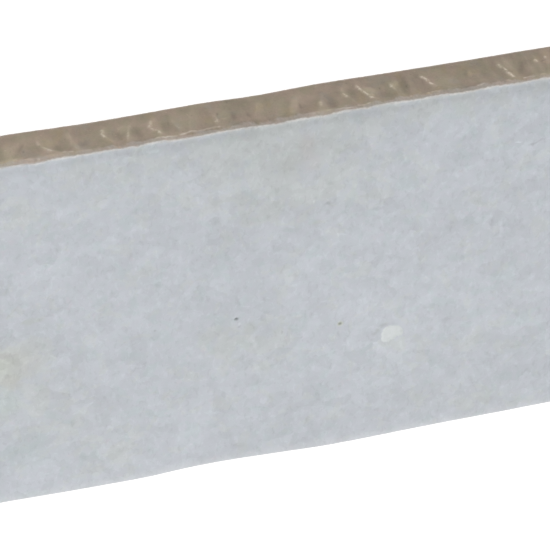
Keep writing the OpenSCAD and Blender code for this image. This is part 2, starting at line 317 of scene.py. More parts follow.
def broken(x, z):
    """The broken edge: how far in it lies, its tone with painted light and shade, its crushed crests with a painted
    highlight, and its glaze section.
    """
    x, z = np.broadcast_arrays(np.asarray(x, float), np.asarray(z, float))
    warp_x = 0.16 * layered(x / 1.7, z / 1.7, 23, 2)
    warp_z = 0.16 * layered(x / 1.7, z / 1.7, 29, 2)
    at, up = x + warp_x, z + warp_z
    lines = np.stack([ridge_x(p, up) for p in ALL_RIDGES])
    # ridges never cross: each stays right of the one before
    lines = np.maximum.accumulate(lines + np.arange(len(lines)).reshape(-1, *[1] * x.ndim) * 1e-3, axis=0)
    k = np.clip((lines <= at).sum(0) - 1, 0, len(lines) - 2)
    left = np.take_along_axis(lines, k[None], 0)[0]
    right = np.take_along_axis(lines, k[None] + 1, 0)[0]
    width = np.maximum(right - left, 0.4)
    s = np.clip((at - left) / width, 0, 1)
    strong = np.array([max(p[2] for p in r) for r in ALL_RIDGES])
    # how keen a ridge is at this height: rounded over where it has no crest
    keen = np.stack([
        np.interp(up, [r[0][1] - 0.9] + [p[1] for p in r] + [r[-1][1] + 0.9], [0.0] + [p[2] for p in r] + [0.0])
        for r in ALL_RIDGES
    ])
    keen_left = np.take_along_axis(keen, k[None], 0)[0]
    keen_right = np.take_along_axis(keen, k[None] + 1, 0)[0]
    body = step(-0.4, 2.6, z) * (1 - 0.85 * step(5.9, 7.9, z))
    # the bowl drops quickly past a strong ridge and comes up slowly to the next
    edge_size = 0.35 + 0.65 * np.maximum(strong[k], strong[k + 1])
    deep = (0.01 + 0.072 * np.minimum(width, 6.0)) * edge_size * (0.8 + 0.4 * lattice(k, k * 0 + 3, 7))
    bowl = np.sin(np.pi * s**0.85) ** (0.9 + 1.0 * (1 - (1 - s) * keen_left - s * keen_right))
    jump = 0.09 * keen_left * np.exp(-s * width / 0.5)
    depth = body * (deep * bowl + jump * step(0, 0.04, s))
    # crushed, paler crests with a painted highlight on them, broken into short lengths, and painted light on the flanks
    # round them
    crest, painted_flank_light, painted_soft_light = np.zeros_like(x), np.zeros_like(x), np.zeros_like(x)
    for r in ALL_RIDGES:
        crisp = [(px, pz, max(0.0, b - 0.5) / 0.5) for px, pz, b in r]
        crest = np.maximum(crest, stroke(x + 1.3 * warp_x - 0.05, z, crisp, 0.27))
        painted_flank_light = np.maximum(painted_flank_light, stroke(x + 1.2 * warp_x - 0.08, z, [(px, pz, b * b) for px, pz, b in r], 0.4))
        painted_soft_light = np.maximum(painted_soft_light, stroke(x + 1.2 * warp_x - 0.15, z, r, 0.85))
    grit = layered(x / 0.5, z / 0.55, 31, 2)
    crest = np.clip(1.25 * crest * np.clip(0.55 + 1.5 * grit, 0.15, 1.1), 0.0, 1.0)
    # tone, as steps of a 255-step scale: painted light past a ridge and painted shade before the next, as if lit from
    # the right (+X)
    tone = body * (3.0 * keen_left * np.exp(-s * width / 0.8) - 4.0 * keen_right * np.exp((s - 1) * width / 0.7))
    tone += smooth_line(x, BREAK_TONE) + 5.5 * layered(x / 8, z / 5.5, 71, 2)
    tone += smooth_line(x, RIM_TONE) * step(T - 2.6, T - 1.2, z)
    tone += 10 * hump(x, -26, 9.0) * step(T - 1.0, T - 0.4, z)
    # painted light on the flanks beside the ridges
    tone += 9 * painted_flank_light * np.clip(0.75 + 1.1 * noise(x / 0.9, z / 0.9, 33), 0.0, 1.5)
    tone += 6 * painted_soft_light * np.clip(0.7 + 1.0 * noise(x / 1.3, z / 1.3, 35), 0.0, 1.5)
    # painted light on the raised places and painted shade in the sunk places and pits; the pale specks and pale places
    # under the glaze are the body's own
    for cx, cz, rx, rz, lean, levels in ALL_SHADE_AND_TONE_PLACES:
        near = np.abs(x - cx) < 3 * rx + 3 * rz * abs(lean) + 1
        small = rx < 0.3
        qx = (at if not small else x)[near] - cx - lean * (z[near] - cz)
        qz = (up if not small else z)[near] - cz
        q = np.exp(-((qx / rx) ** 2 + (qz / rz) ** 2) ** (1.0 if small else 1.4))
        tone[near] += (1.0 if small else 2.0) * levels * q
        depth[near] -= (0.006 if small else 0.018) * levels * q
    lip, shaded_slit = np.zeros_like(x), np.zeros_like(x)
    for r in ALL_LIPS:
        lip = np.maximum(lip, stroke(x, z + 1.0 * warp_z, r, 0.17))
    lip = lip * np.clip(0.7 + 0.9 * noise(x / 0.7, z / 0.5, 37), 0.1, 1.0)
    # painted shadow in the slit under each flake, which is also cut in as a groove below
    for x0, x1, zc, dark in ALL_SHADED_SLITS:
        along = step(x0 - 0.3, x0 + 0.9, x) * (1 - step(x1 - 0.9, x1 + 0.3, x))
        mid = zc + 0.12 * noise(x / 1.3, x * 0, 43)
        cut = along * np.exp(-(((z - mid) / 0.2) ** 2)) * (0.6 + 0.6 * noise(x / 0.9, z * 0, 47))
        shaded_slit = np.maximum(shaded_slit, cut)
        tone -= dark * cut
    depth = depth + 0.16 * shaded_slit - 0.05 * lip - 0.03 * crest
    # smaller scales of roughness
    mid_size = layered(x / 3.1, z / 2.3, 51, 3)
    streaks = layered((x - 0.3 * z) / 0.75, z / 1.8, 57, 2)
    fine = layered(x / 0.8, z / 0.8, 61, 2)
    depth = depth + 0.05 * mid_size * body + 0.02 * streaks * body + 0.02 * fine
    # the cut through the glaze, cleaner than the body under it
    line = T - 0.22 + 0.11 * noise(x / 0.6, x * 0, 63) + 0.16 * layered(x / 2.2, x * 0 + 2, 67, 2)
    section = step(-0.18, 0.26, z - line) * (1 - 0.6 * hump(x, -45.5, 9.0))
    # the line of the break at back and rim
    known = step(-62, -58, x) * (1 - step(58, 62, x))
    wander_back = known * smooth_line(x, BACK_LINE) + (1 - known) * 0.2 * layered(x / 17, z * 0, 91, 2)
    chips = rim_chips(x) * step(T - 0.75, T, z)
    base = 0.24 - wander_back * (1 - step(0.5, 7.0, z)) * 0.9 + 0.05 * layered(x / 9, z * 0 + 4, 95, 2)
    base = base + step(5.0, T, z) * (-0.09 - known * smooth_line(x, RIM_LINE))
    back_nibble = 0.08 * np.clip(layered(x / 1.1, z * 0 + 2.2, 15, 3), 0, 1) * (1 - step(0, 0.6, z))
    depth = base + depth + chips + back_nibble
    return np.maximum(depth, 0.0), tone, crest, lip, section


# ---------------------------------------------------------------- mesh patches
class Net:
    """Points of the plain tile, shared where patches meet, and faces on them."""

    def __init__(self):
        self.where, self.points, self.faces, self.zones = {}, [], [], []

    def v(self, x, y, z):
        key = (round(x * 20000), round(y * 20000), round(z * 20000))
        if key not in self.where:
            self.where[key] = len(self.points)
            self.points.append((x, y, z))
        return self.where[key]

    def row(self, xyz):
        return [self.v(*p) for p in xyz]

    def face(self, ids, zone):
        out = [i for n, i in enumerate(ids) if i != ids[n - 1]]
        if len(out) >= 3 and len(set(out)) == len(out):
            self.faces.append(out)
            self.zones.append(zone)

    def rows(self, rows, zone):
        """Quads between rows of equal length. Row n + 1 is to the left of row n, going along it."""
        for a, b in zip(rows, rows[1:]):
            for i in range(len(a) - 1):
                self.face([a[i], a[i + 1], b[i + 1], b[i]], zone)

    def zip(self, a, b, along, zone):
        """Triangles between rows of unequal length. Row b is to the left of row a."""
        ta = [along(self.points[i]) for i in a]
        tb = [along(self.points[i]) for i in b]
        ta = [(t - ta[0]) / (ta[-1] - ta[0]) for t in ta]
        tb = [(t - tb[0]) / (tb[-1] - tb[0]) for t in tb]
        i = j = 0
        while i < len(a) - 1 or j < len(b) - 1:
            if j == len(b) - 1 or (i < len(a) - 1 and ta[i + 1] <= tb[j + 1]):
                self.face([a[i], a[i + 1], b[j]], zone)
                i += 1
            else:
                self.face([a[i], b[j + 1], b[j]], zone)
                j += 1


def spaced(a, b, size):
    return list(np.linspace(a, b, max(1, round((b - a) / size)) + 1))


def joined(*runs):
    out = list(runs[0])
    for r in runs[1:]:
        out += list(r)[1:]
    return out


FACE, SIDE, BREAK, BACK = range(4)
net = Net()

# --- the broken edge, and narrow margins of the face and the back beside it
fine_x = joined(spaced(-CX, -SEEN, 0.8), spaced(-SEEN, SEEN, 0.2), spaced(SEEN, CX, 0.8))
break_z = joined([0, 0.12], spaced(0.12, T - 1.1, 0.21), [T - 1.1] + [T - d for d in (0.92, 0.76, 0.64, 0.54, 0.44, 0.33, 0.22, 0.11, 0)])
TOP_JOIN, BACK_JOIN = HY - 2.2, HY - 1.1
top_margin = [HY, HY - 0.13, HY - 0.32, HY - 0.6, HY - 1.0, HY - 1.5, TOP_JOIN]
back_margin = [HY, HY - 0.2, HY - 0.6, BACK_JOIN]
rim = net.row((x, HY, T) for x in fine_x)
foot = net.row((x, HY, 0) for x in fine_x)
net.rows([net.row((x, HY, z) for x in fine_x) for z in reversed(break_z)], BREAK)
net.rows([net.row((x, y, T) for x in fine_x) for y in reversed(top_margin)], FACE)
net.rows([net.row((x, y, 0) for x in fine_x) for y in back_margin], BACK)

# --- the rest of the face, finer round its marks
face_x = joined(
    spaced(-CX, -SEEN, 4.0), spaced(-SEEN, -8.3, 2.0), spaced(-8.3, -6.0, 0.23), spaced(-6.0, 0, 2.0), spaced(0, 19.2, 2.0),
    spaced(19.2, 25.0, 0.29), spaced(25.0, SEEN, 2.0), spaced(SEEN, CX, 4.0),
)
face_y = joined(
    spaced(-CY, -16.8, 2.0), spaced(-16.8, -11.2, 0.29), spaced(-11.2, -6.5, 2.0), spaced(-6.5, -2.6, 0.24),
    spaced(-2.6, TOP_JOIN - 0.8, 2.0),
)
face_rows = [net.row((x, y, T) for x in face_x) for y in face_y]
net.rows(face_rows, FACE)
net.zip(face_rows[-1], net.row((x, TOP_JOIN, T) for x in fine_x), lambda p: p[0], FACE)

# --- the back: a grid of shallow recesses, ribs between them, a plain border
SHARES = [0, 0.04, 0.08, 0.13, 0.26, 0.5, 0.74, 0.87, 0.92, 0.96, 1]
cell_x = [-HX + KEY_BORDER - KEY_RIB / 2 + i * KEY_PITCH for i in range(KEY_COUNT + 1)]
cell_y = [-HY + KEY_BORDER - KEY_RIB / 2 + j * KEY_PITCH for j in range(4)]
cell_y[3] = HY - 1.55
border_x = spaced(-CX, cell_x[0], 2.4)
border_y = spaced(-CY, cell_y[0], 2.4)
stations_x = list(border_x)
for a, b in zip(cell_x, cell_x[1:]):
    stations_x += [a + (b - a) * s for s in SHARES[1:]]
right_border = spaced(cell_x[-1], CX, 2.4)
stations_x += right_border[1:]
stations_y = list(border_y)
for a, b in zip(cell_y, cell_y[1:]):
    stations_y += [a + (b - a) * s for s in SHARES[1:]]


def back_rows(xs, ys):
    """The back faces down, so its rows run the other way."""
    net.rows([net.row((x, y, 0) for x in xs) for y in reversed(ys)], BACK)


back_rows(stations_x, border_y)
inner_y = stations_y[len(border_y) - 1 :]
back_rows(border_x, inner_y)
back_rows(right_border, inner_y)
net.zip(
    net.row((x, BACK_JOIN, 0) for x in fine_x),
    net.row((x, cell_y[3], 0) for x in stations_x),
    lambda p: p[0],
    BACK,
)


def rounded(px, py, half, r):
    """A point on the square of that half size, moved in to its rounded corner."""
    c = half - r
    if abs(px) <= c or abs(py) <= c:
        return px, py
    dx, dy = abs(px) - c, abs(py) - c
    k = r / math.hypot(dx, dy)
    return math.copysign(c + dx * k, px), math.copysign(c + dy * k, py)


for i in range(KEY_COUNT):
    for j in range(3):
        x0, x1, y0, y1 = cell_x[i], cell_x[i + 1], cell_y[j], cell_y[j + 1]
        mx = (x0 + x1) / 2
        my = -HY + KEY_BORDER + KEY_CELL / 2 + j * KEY_PITCH
        outer, unit = [], []
        # round the cell with the back facing the reader: +Y, then +X, -Y, -X sides
        for s in SHARES[:-1]:
            outer.append((x0, y0 + (y1 - y0) * s)); unit.append((-1, 2 * s - 1))
        for s in SHARES[:-1]:
            outer.append((x0 + (x1 - x0) * s, y1)); unit.append((2 * s - 1, 1))
        for s in SHARES[:-1]:
            outer.append((x1, y1 - (y1 - y0) * s)); unit.append((1, 1 - 2 * s))
        for s in SHARES[:-1]:
            outer.append((x1 - (x1 - x0) * s, y0)); unit.append((1 - 2 * s, -1))
        half = KEY_CELL / 2
        loops = [net.row((x, y, 0) for x, y in outer)]
        for inset, z, r in (
            (-0.10, 0.0, KEY_CORNER + 0.1), (0.03, 0.06, KEY_CORNER), (0.20, 0.40, KEY_CORNER),
            (0.42, KEY_DEPTH, KEY_CORNER), (3.4, KEY_DEPTH, 2.6),
        ):
            h = half - inset
            ring = [rounded(u * h, w * h, h, r) for u, w in unit]
            loops.append(net.row((mx + a, my + b, z) for a, b in ring))
        for a, b in zip(loops, loops[1:]):
            for n in range(len(a)):
                m = (n + 1) % len(a)
                net.face([a[n], a[m], b[m], b[n]], BACK)
        # the floor of the recess, as rows of quads across it
        ring = loops[-1]
        q = len(SHARES) - 1
        west = [ring[n] for n in range(0, q + 1)]
        north = [ring[n] for n in range(q, 2 * q + 1)]
        east = [ring[n] for n in range(3 * q, 2 * q - 1, -1)]
        south = [ring[0]] + [ring[n] for n in range(4 * q - 1, 3 * q - 1, -1)]
        grid = [south]
        for n in range(1, q):
            a, b = np.array(net.points[west[n]]), np.array(net.points[east[n]])
            sh = [SHARES[m] for m in range(1, q)]
            row = [west[n]] + [
                net.v(*(a * (1 - t) + b * t)) for t in sh
            ] + [east[n]]
            grid.append(row)
        grid.append(north)
        net.rows(list(reversed(grid)), BACK)

# --- the pressed edges: arris, land and draft, round three sides
ring_shape = [(0.0, 0.0)]  # (outwards from the flat face's edge, down from the face)
for n in range(1, 8):
    t = n / 7 * math.pi / 2
    ring_shape.append((ARRIS * math.sin(t), ARRIS * (1 - math.cos(t))))
ring_shape += [(ARRIS, ARRIS + (LAND - ARRIS) * s) for s in (0.33, 0.67)]
ring_shape += [(ARRIS, LAND - 0.1), (ARRIS - 0.03, LAND + 0.1)]
ring_shape += [
    (ARRIS - DRAFT * s, LAND + (T - LAND) * s) for s in (0.35, 0.68, 0.93)
]
ring_shape += [(ARRIS - DRAFT - 0.12, T)]
end_y = joined(face_y, [face_y[-1], TOP_JOIN], top_margin[::-1])
# the path round the flat face's edge: (x, y, outward x, outward y)
path = [(-CX, y, -1.0, 0.0) for y in reversed(end_y)]
TURN = 5
for n in range(1, TURN):
    t = n / TURN * math.pi / 2
    path.append((-CX, -CY, -math.cos(t), -math.sin(t)))
path += [(x, -CY, 0.0, -1.0) for x in face_x]
for n in range(1, TURN):
    t = n / TURN * math.pi / 2
    path.append((CX, -CY, math.sin(t), -math.cos(t)))
path += [(CX, y, 1.0, 0.0) for y in end_y]
rings = [net.row((x + ox * out, y + oy * out, T - down) for x, y, ox, oy in path) for out, down in ring_shape]
net.rows(list(reversed(rings)), SIDE)


last = rings[-1]
n_end, n_turn, n_front = len(end_y), TURN - 1, len(face_x)
a0 = last[:n_end]
c0 = last[n_end - 1 : n_end + n_turn + 1]
b0 = last[n_end + n_turn : n_end + n_turn + n_front]
c1 = last[n_end + n_turn + n_front - 1 : n_end + 2 * n_turn + n_front + 1]
a1 = last[n_end + 2 * n_turn + n_front :]
back_end_y = joined(stations_y, [cell_y[3], BACK_JOIN], back_margin[::-1])
west = net.row((-CX, y, 0) for y in reversed(back_end_y))
east = net.row((CX, y, 0) for y in back_end_y)
front = net.row((x, -CY, 0) for x in stations_x)
net.zip(west, a0, lambda p: -p[1], BACK)
net.zip(front, b0, lambda p: p[0], BACK)
net.zip(east, a1, lambda p: p[1], BACK)
for n in range(len(c0) - 1):
    net.face([front[0], c0[n + 1], c0[n]], BACK)
for n in range(len(c1) - 1):
    net.face([front[-1], c1[n + 1], c1[n]], BACK)

# --- the small wedges of the broken edge outside the arris at both ends
west_profile = [r[0] for r in rings]
east_profile = [r[-1] for r in rings]
west_column = net.row((-CX, HY, z) for z in reversed(break_z))
east_column = net.row((CX, HY, z) for z in reversed(break_z))


def down(p):
    return -p[2]


def wedge(column, profile, flip):
    i = j = 0
    while i < len(column) - 1 or j < len(profile) - 1:
        zi = net.points[column[i + 1]][2] if i < len(column) - 1 else -9
        zj = net.points[profile[j + 1]][2] if j < len(profile) - 1 else -9
        if zi >= zj:
            tri = [column[i], column[i + 1], profile[j]]
            i += 1
        else:
            tri = [column[i], profile[j + 1], profile[j]]
            j += 1
        net.face(tri[::-1] if flip else tri, BREAK)


wedge(west_column, west_profile, False)
wedge(east_column, east_profile, True)

base = np.array(net.points)
print("points", len(base), "faces", len(net.faces), "triangles", sum(len(f) - 2 for f in net.faces))


# ---------------------------------------------------------------- real shape
bx, by, bz = base.T
on_face = bz > T - 0.01
near_break = np.clip((by - TOP_JOIN) / (HY - TOP_JOIN), 0, 1)
depth = np.zeros(len(base))
tone, crest, lip, section = (np.zeros(len(base)) for _ in range(4))
close = near_break > 0
depth[close], tone[close], crest[close], lip[close], section[close] = broken(bx[close], bz[close])
shape = base.copy()
shape[:, 1] -= depth * near_break**1.3

# the pressed long edge wanders a little, and so do the two ends
known = step(-64, -60, bx) * (1 - step(60, 64, bx))
wander = known * smooth_line(bx, FRONT_LINE) + (1 - known) * 0.3 * layered(bx / 26, bx * 0, 101, 2)
wander = 0.42 - wander + 0.03 * layered(bx / 5, bx * 0 + 5, 103, 2)
shape[:, 1] += np.maximum(wander, 0) * (1 - step(-CY, -24, by))
ends = 0.16 + 0.16 * layered(by / 21, by * 0 + np.sign(bx) * 9, 107, 2)
shape[:, 0] -= np.sign(bx) * ends * step(CX - 14, CX, np.abs(bx))

# the face: very slightly uneven under its glaze, and a little lower near its pressed edges
inside = np.minimum(CX - np.abs(bx), by + CY)
uneven = 0.03 * layered(bx / 23, by / 23, 113, 2) + 0.01 * layered(bx / 6, by / 6, 117, 1)
flat = step(T - 0.7, T, bz) * (1 - step(HY - 2, HY - 0.3, by))
shape[:, 2] -= flat * (uneven + 0.045 + 0.05 * (1 - step(0, 5, inside)))

# a flake out of the glaze, and a pinhole
CHIP = [
    (20.8, -11.95), (21.6, -11.85), (22.8, -12.1), (23.7, -12.45), (24.05, -13.1), (24.08, -14.4), (23.8, -14.85),
    (22.85, -14.8), (22.4, -15.3), (21.6, -15.5), (21.1, -15.8), (20.35, -15.65), (20.05, -15.0), (20.1, -13.6), (20.4, -12.5),
]


def inside_of(x, y, corners):
    """How far inside a convex-enough outline a point is, in mm, negative outside."""
    best = np.full(np.shape(x), 1e9)
    odd = np.zeros(np.shape(x), bool)
    for (x0, y0), (x1, y1) in zip(corners, corners[1:] + corners[:1]):
        dx, dy = x1 - x0, y1 - y0
        t = np.clip(((x - x0) * dx + (y - y0) * dy) / (dx * dx + dy * dy), 0, 1)
        best = np.minimum(best, np.hypot(x - x0 - t * dx, y - y0 - t * dy))
        crosses = ((y0 > y) != (y1 > y)) & (x < (x1 - x0) * (y - y0) / (y1 - y0 + 1e-12) + x0)
        odd = odd ^ crosses
    return np.where(odd, best, -best)


chipped = np.full(len(base), -9.0)
by_chip = on_face & (np.hypot(bx - 22.1, by + 14.0) < 5)
chipped[by_chip] = inside_of(
    bx[by_chip] + 0.15 * noise(bx[by_chip] / 0.9, by[by_chip] / 0.9, 127),
    by[by_chip] + 0.15 * noise(bx[by_chip] / 0.9, by[by_chip] / 0.9, 129),
    CHIP,
)
floor_of_chip = step(-0.12, 0.42, chipped)
shape[:, 2] -= floor_of_chip * (0.16 + 0.05 * layered(bx / 0.8, by / 0.8, 131, 2))
for px, py, r, deep in ((-7.12, -3.76, 0.34, 0.28), (-6.63, -5.72, 0.22, 0.06)):
    shape[:, 2] -= np.where(on_face, deep * hump(np.hypot(bx - px, by - py), 0, r * 1.6), 0)
shape[:, 2] += np.where(on_face, 0.03 * hump(np.hypot(bx + 6.61, by + 4.98), 0, 0.5), 0)

# pressed sides: a trace of unevenness, never outwards
side = (np.abs(bx) > CX + 0.3) | (by < -CY - 0.3)
rough = 0.05 + 0.05 * layered((bx + by) / 2.1, bz / 1.6, 137, 3)
shape[:, 0] -= np.where(side & (np.abs(bx) > CX), np.sign(bx) * rough * np.clip((np.abs(bx) - CX) / ARRIS, 0, 1), 0)
shape[:, 1] += np.where(side & (by < -CY), rough * np.clip((-CY - by) / ARRIS, 0, 1), 0)

# the back: the recess floors are a little uneven
shape[:, 2] += np.where((bz > 0.3) & (bz <= KEY_DEPTH + 0.01) & (by < HY - 1.6), 0.05 * layered(bx / 2.5, by / 2.5, 139, 2), 0)

# how far round the pressed edge a point is from the flat face
down = np.where(on_face, 0.0, 20.0)
travelled = 0.0
for (ring, (out, drop)), (out0, drop0) in zip(list(zip(rings, ring_shape))[1:], ring_shape):
    travelled += math.hypot(out - out0, drop - drop0)
    down[ring] = travelled

# broad soft clouds of the glaze: (x, y, half sizes, steps lighter of a 255-step scale)
SHADES = [
    (-41, 15, 9, 9, 2.6), (-30, 1, 10, 7, 1.6), (-20, -22, 12, 9, 1.9), (-47, -37, 9, 7, 4.4), (-28, -37, 18, 4, 1.8),
    (-9, -6, 5, 4.5, -2.3), (-5, 20, 11, 9, -1.7), (6, 34, 20, 8, -3.6), (13, -1, 10, 8, 2.2), (21, -14, 11, 9, 3.0),
    (6, -33, 9, 6, -2.4), (38, -28, 11, 7, -1.5), (44, 18, 9, 18, -1.7), (40, 3, 7, 5, -1.3), (-21, 35, 13, 5, -1.2),
    (-40, 33, 9, 6, 1.8), (27, 25, 5, 6, 0.8), (50, -14, 7, 7, 1.0), (17, 32, 24, 8, -1.5), (-42, -20, 8, 11, 1.7),
    (-32, -35, 15, 6, 1.4), (45, -37, 9, 4, -3.4), (12, -18, 6, 4, 1.8), (6, 17, 8, 6, -1.8), (17, 8, 6, 6, 1.4),
    (-37, 15, 7, 8, 1.2), (-46, 22, 5, 9, 1.3), (-22, -3, 12, 7, 1.2), (20, -31, 9, 5, 0.6),
]
# where the glaze is more olive: (x, y, half sizes, how much)
OLIVES = [
    (-48, -5, 5.5, 5.5, 1.0), (-43, -16, 6, 8, 0.5), (-31, -31, 5, 5, 0.5), (-45, 28, 6, 5, 0.4), (1, 35, 17, 7, 0.85),
    (4, 25, 14, 7, 0.65), (22, 38, 26, 4, 0.5), (-9, -9, 4, 5, 0.55), (-26, 35, 10, 6, 0.45), (39, -35, 4, 4, 0.4),
    (23, -17, 3, 3, 0.45), (-35, -22, 5, 5, 0.3), (31, -31, 7, 4, 0.25), (39, -18, 3, 3, 0.3), (0.5, -7.5, 2.5, 4, 0.4),
    (-13, 27, 9, 5, 0.4), (-2, -15, 4, 4, 0.3),
]
shade = known * 0 + (1 - known) * (2.2 * layered(bx / 19, by / 19, 151, 3) - 0.8 * step(25, 40, by))
olive = (1 - known) * np.clip(1.4 * layered(bx / 16, by / 13, 157, 2) + 0.1 + 0.3 * step(22, 38, by), 0, 1)
shade += smooth_line(bx, RIM_SHADE) * (1 - step(1.5, 6.5, HY - by))
for cx, cy, rx, ry, levels in SHADES:
    shade += levels * np.exp(-((((bx - cx) / rx) ** 2 + ((by - cy) / ry) ** 2) ** 1.2) * 0.9)
for cx, cy, rx, ry, much in OLIVES:
    olive = np.maximum(olive, much * np.exp(-((((bx - cx) / rx) ** 2 + ((by - cy) / ry) ** 2) ** 1.5) * 0.7))

faces = net.faces
zones = np.array(net.zones)
mesh = bpy.data.meshes.new("tile_piece")
mesh.from_pydata([tuple(p) for p in shape * MM], [], faces)
mesh.polygons.foreach_set("material_index", zones)
mesh.polygons.foreach_set("use_smooth", np.ones(len(faces), bool))


def attribute(name, values):
    a = mesh.attributes.new(name, "FLOAT", "POINT")
    a.data.foreach_set("value", np.asarray(values, np.float32))


# how far in from the broken rim and from the pressed edges a point of the face is
attribute("from_break", np.clip(HY - by, 0, 50))
attribute("from_pressed", np.clip(inside, 0, 50))
attribute("down", down)
attribute("shade", shade)
attribute("olive", olive)
attribute("chip", chipped)
# the break's tone and crests hold painted light and shade besides the body's own tone
attribute("tone", tone)
attribute("crest", crest)
attribute("lip", lip)
attribute("section", section)
mesh.update()
mesh.validate()
tile = bpy.data.objects.new("ceramic_tile", mesh)
bpy.context.scene.collection.objects.link(tile)

# a flat layout of the surface, in pixels of a 1024 square, for baked copies of the materials
def flat_layout():
    face_of = np.zeros(len(mesh.loops), int)
    vertex = np.zeros(len(mesh.loops), int)
    first, count, kind = (np.zeros(len(mesh.polygons), int) for _ in range(3))
    mesh.loops.foreach_get("vertex_index", vertex)
    mesh.polygons.foreach_get("loop_start", first)
    mesh.polygons.foreach_get("loop_total", count)
    mesh.polygons.foreach_get("material_index", kind)
    face_of = np.repeat(np.arange(len(first)), count)
    corner = base[vertex]
    middle = np.stack([np.bincount(face_of, corner[:, k]) / count for k in range(3)], 1)[face_of]
    kind = kind[face_of]
    x, y, z = corner.T
    right = middle[:, 0] > 0
    at = np.zeros((len(vertex), 2))

    def lay(which, along, a0, a1, across, b0, b1, left, bottom, wide, high):
        at[which, 0] = left + wide * (along[which] - a0) / (a1 - a0)
        at[which, 1] = bottom + high * (across[which] - b0) / (b1 - b0)

    for n, half in enumerate((~right, right)):
        lay((kind == FACE) & half, x, -HX + n * HX, n * HX, y, -CY, HY, 4, 4 + n * 344, 1016, 338)
        lay((kind == BREAK) & half, x, n * HX, -HX + n * HX, z, 0, T, 4, 692 + n * 50, 1016, 44)
    lay(kind == BACK, x, HX, -HX, y, -HY, HY, 4, 792, 1016, 148)
    # the pressed edges: the front in one run, then each end with its corner
    round_it = down[vertex]
    front = (kind == SIDE) & (middle[:, 1] < -CY) & (np.abs(middle[:, 0]) < CX)
    lay(front, x, -CX, CX, round_it, 9.7, 0, 4, 946, 1016, 34)
    out_x, out_y = np.abs(x) - CX, -CY - y
    mid_x, mid_y = np.abs(middle[:, 0]) - CX, -CY - middle[:, 1]
    turned = np.where(np.hypot(out_x, out_y) > 1e-4, np.arctan2(out_y, np.maximum(out_x, 1e-9)), np.arctan2(mid_y, np.maximum(mid_x, 1e-9)))
    along = np.where(mid_y > 0, -CY - 1.7 * np.clip(turned, 0, math.pi / 2), y)
    for half, near, far, left in ((~right, HY, -CY - 2.8, 4), (right, -CY - 2.8, HY, 516)):
        lay((kind == SIDE) & ~front & half, along, near, far, round_it, 9.7, 0, left, 986, 504, 34)
    layer = mesh.uv_layers.new(name="OFBake")
    layer.uv.foreach_set("vector", (at / 1024).astype(np.float32).ravel())


flat_layout()

# keep an edge sharp where the break meets the face and the back
zone_edges = {}
for n, f in enumerate(faces):
    for a, b in zip(f, f[1:] + f[:1]):
        zone_edges.setdefault((min(a, b), max(a, b)), []).append(zones[n])
sharp = {e for e, z in zone_edges.items() if BREAK in z and len(set(z)) > 1}
flags = np.zeros(len(mesh.edges), bool)
pairs = np.zeros(len(mesh.edges) * 2, int)
mesh.edges.foreach_get("vertices", pairs)
for n, (a, b) in enumerate(pairs.reshape(-1, 2)):
    flags[n] = (min(a, b), max(a, b)) in sharp
mesh.attributes.new("sharp_edge", "BOOLEAN", "EDGE").data.foreach_set("value", flags)


# ---------------------------------------------------------------- materials
def linear(r, g, b):
    """A colour given from 0 to 255 as a screen shows it, as the shader wants it."""
    def one(c):
        c /= 255
        return c / 12.92 if c <= 0.04045 else ((c + 0.055) / 1.055) ** 2.4
    return (one(r), one(g), one(b), 1.0)


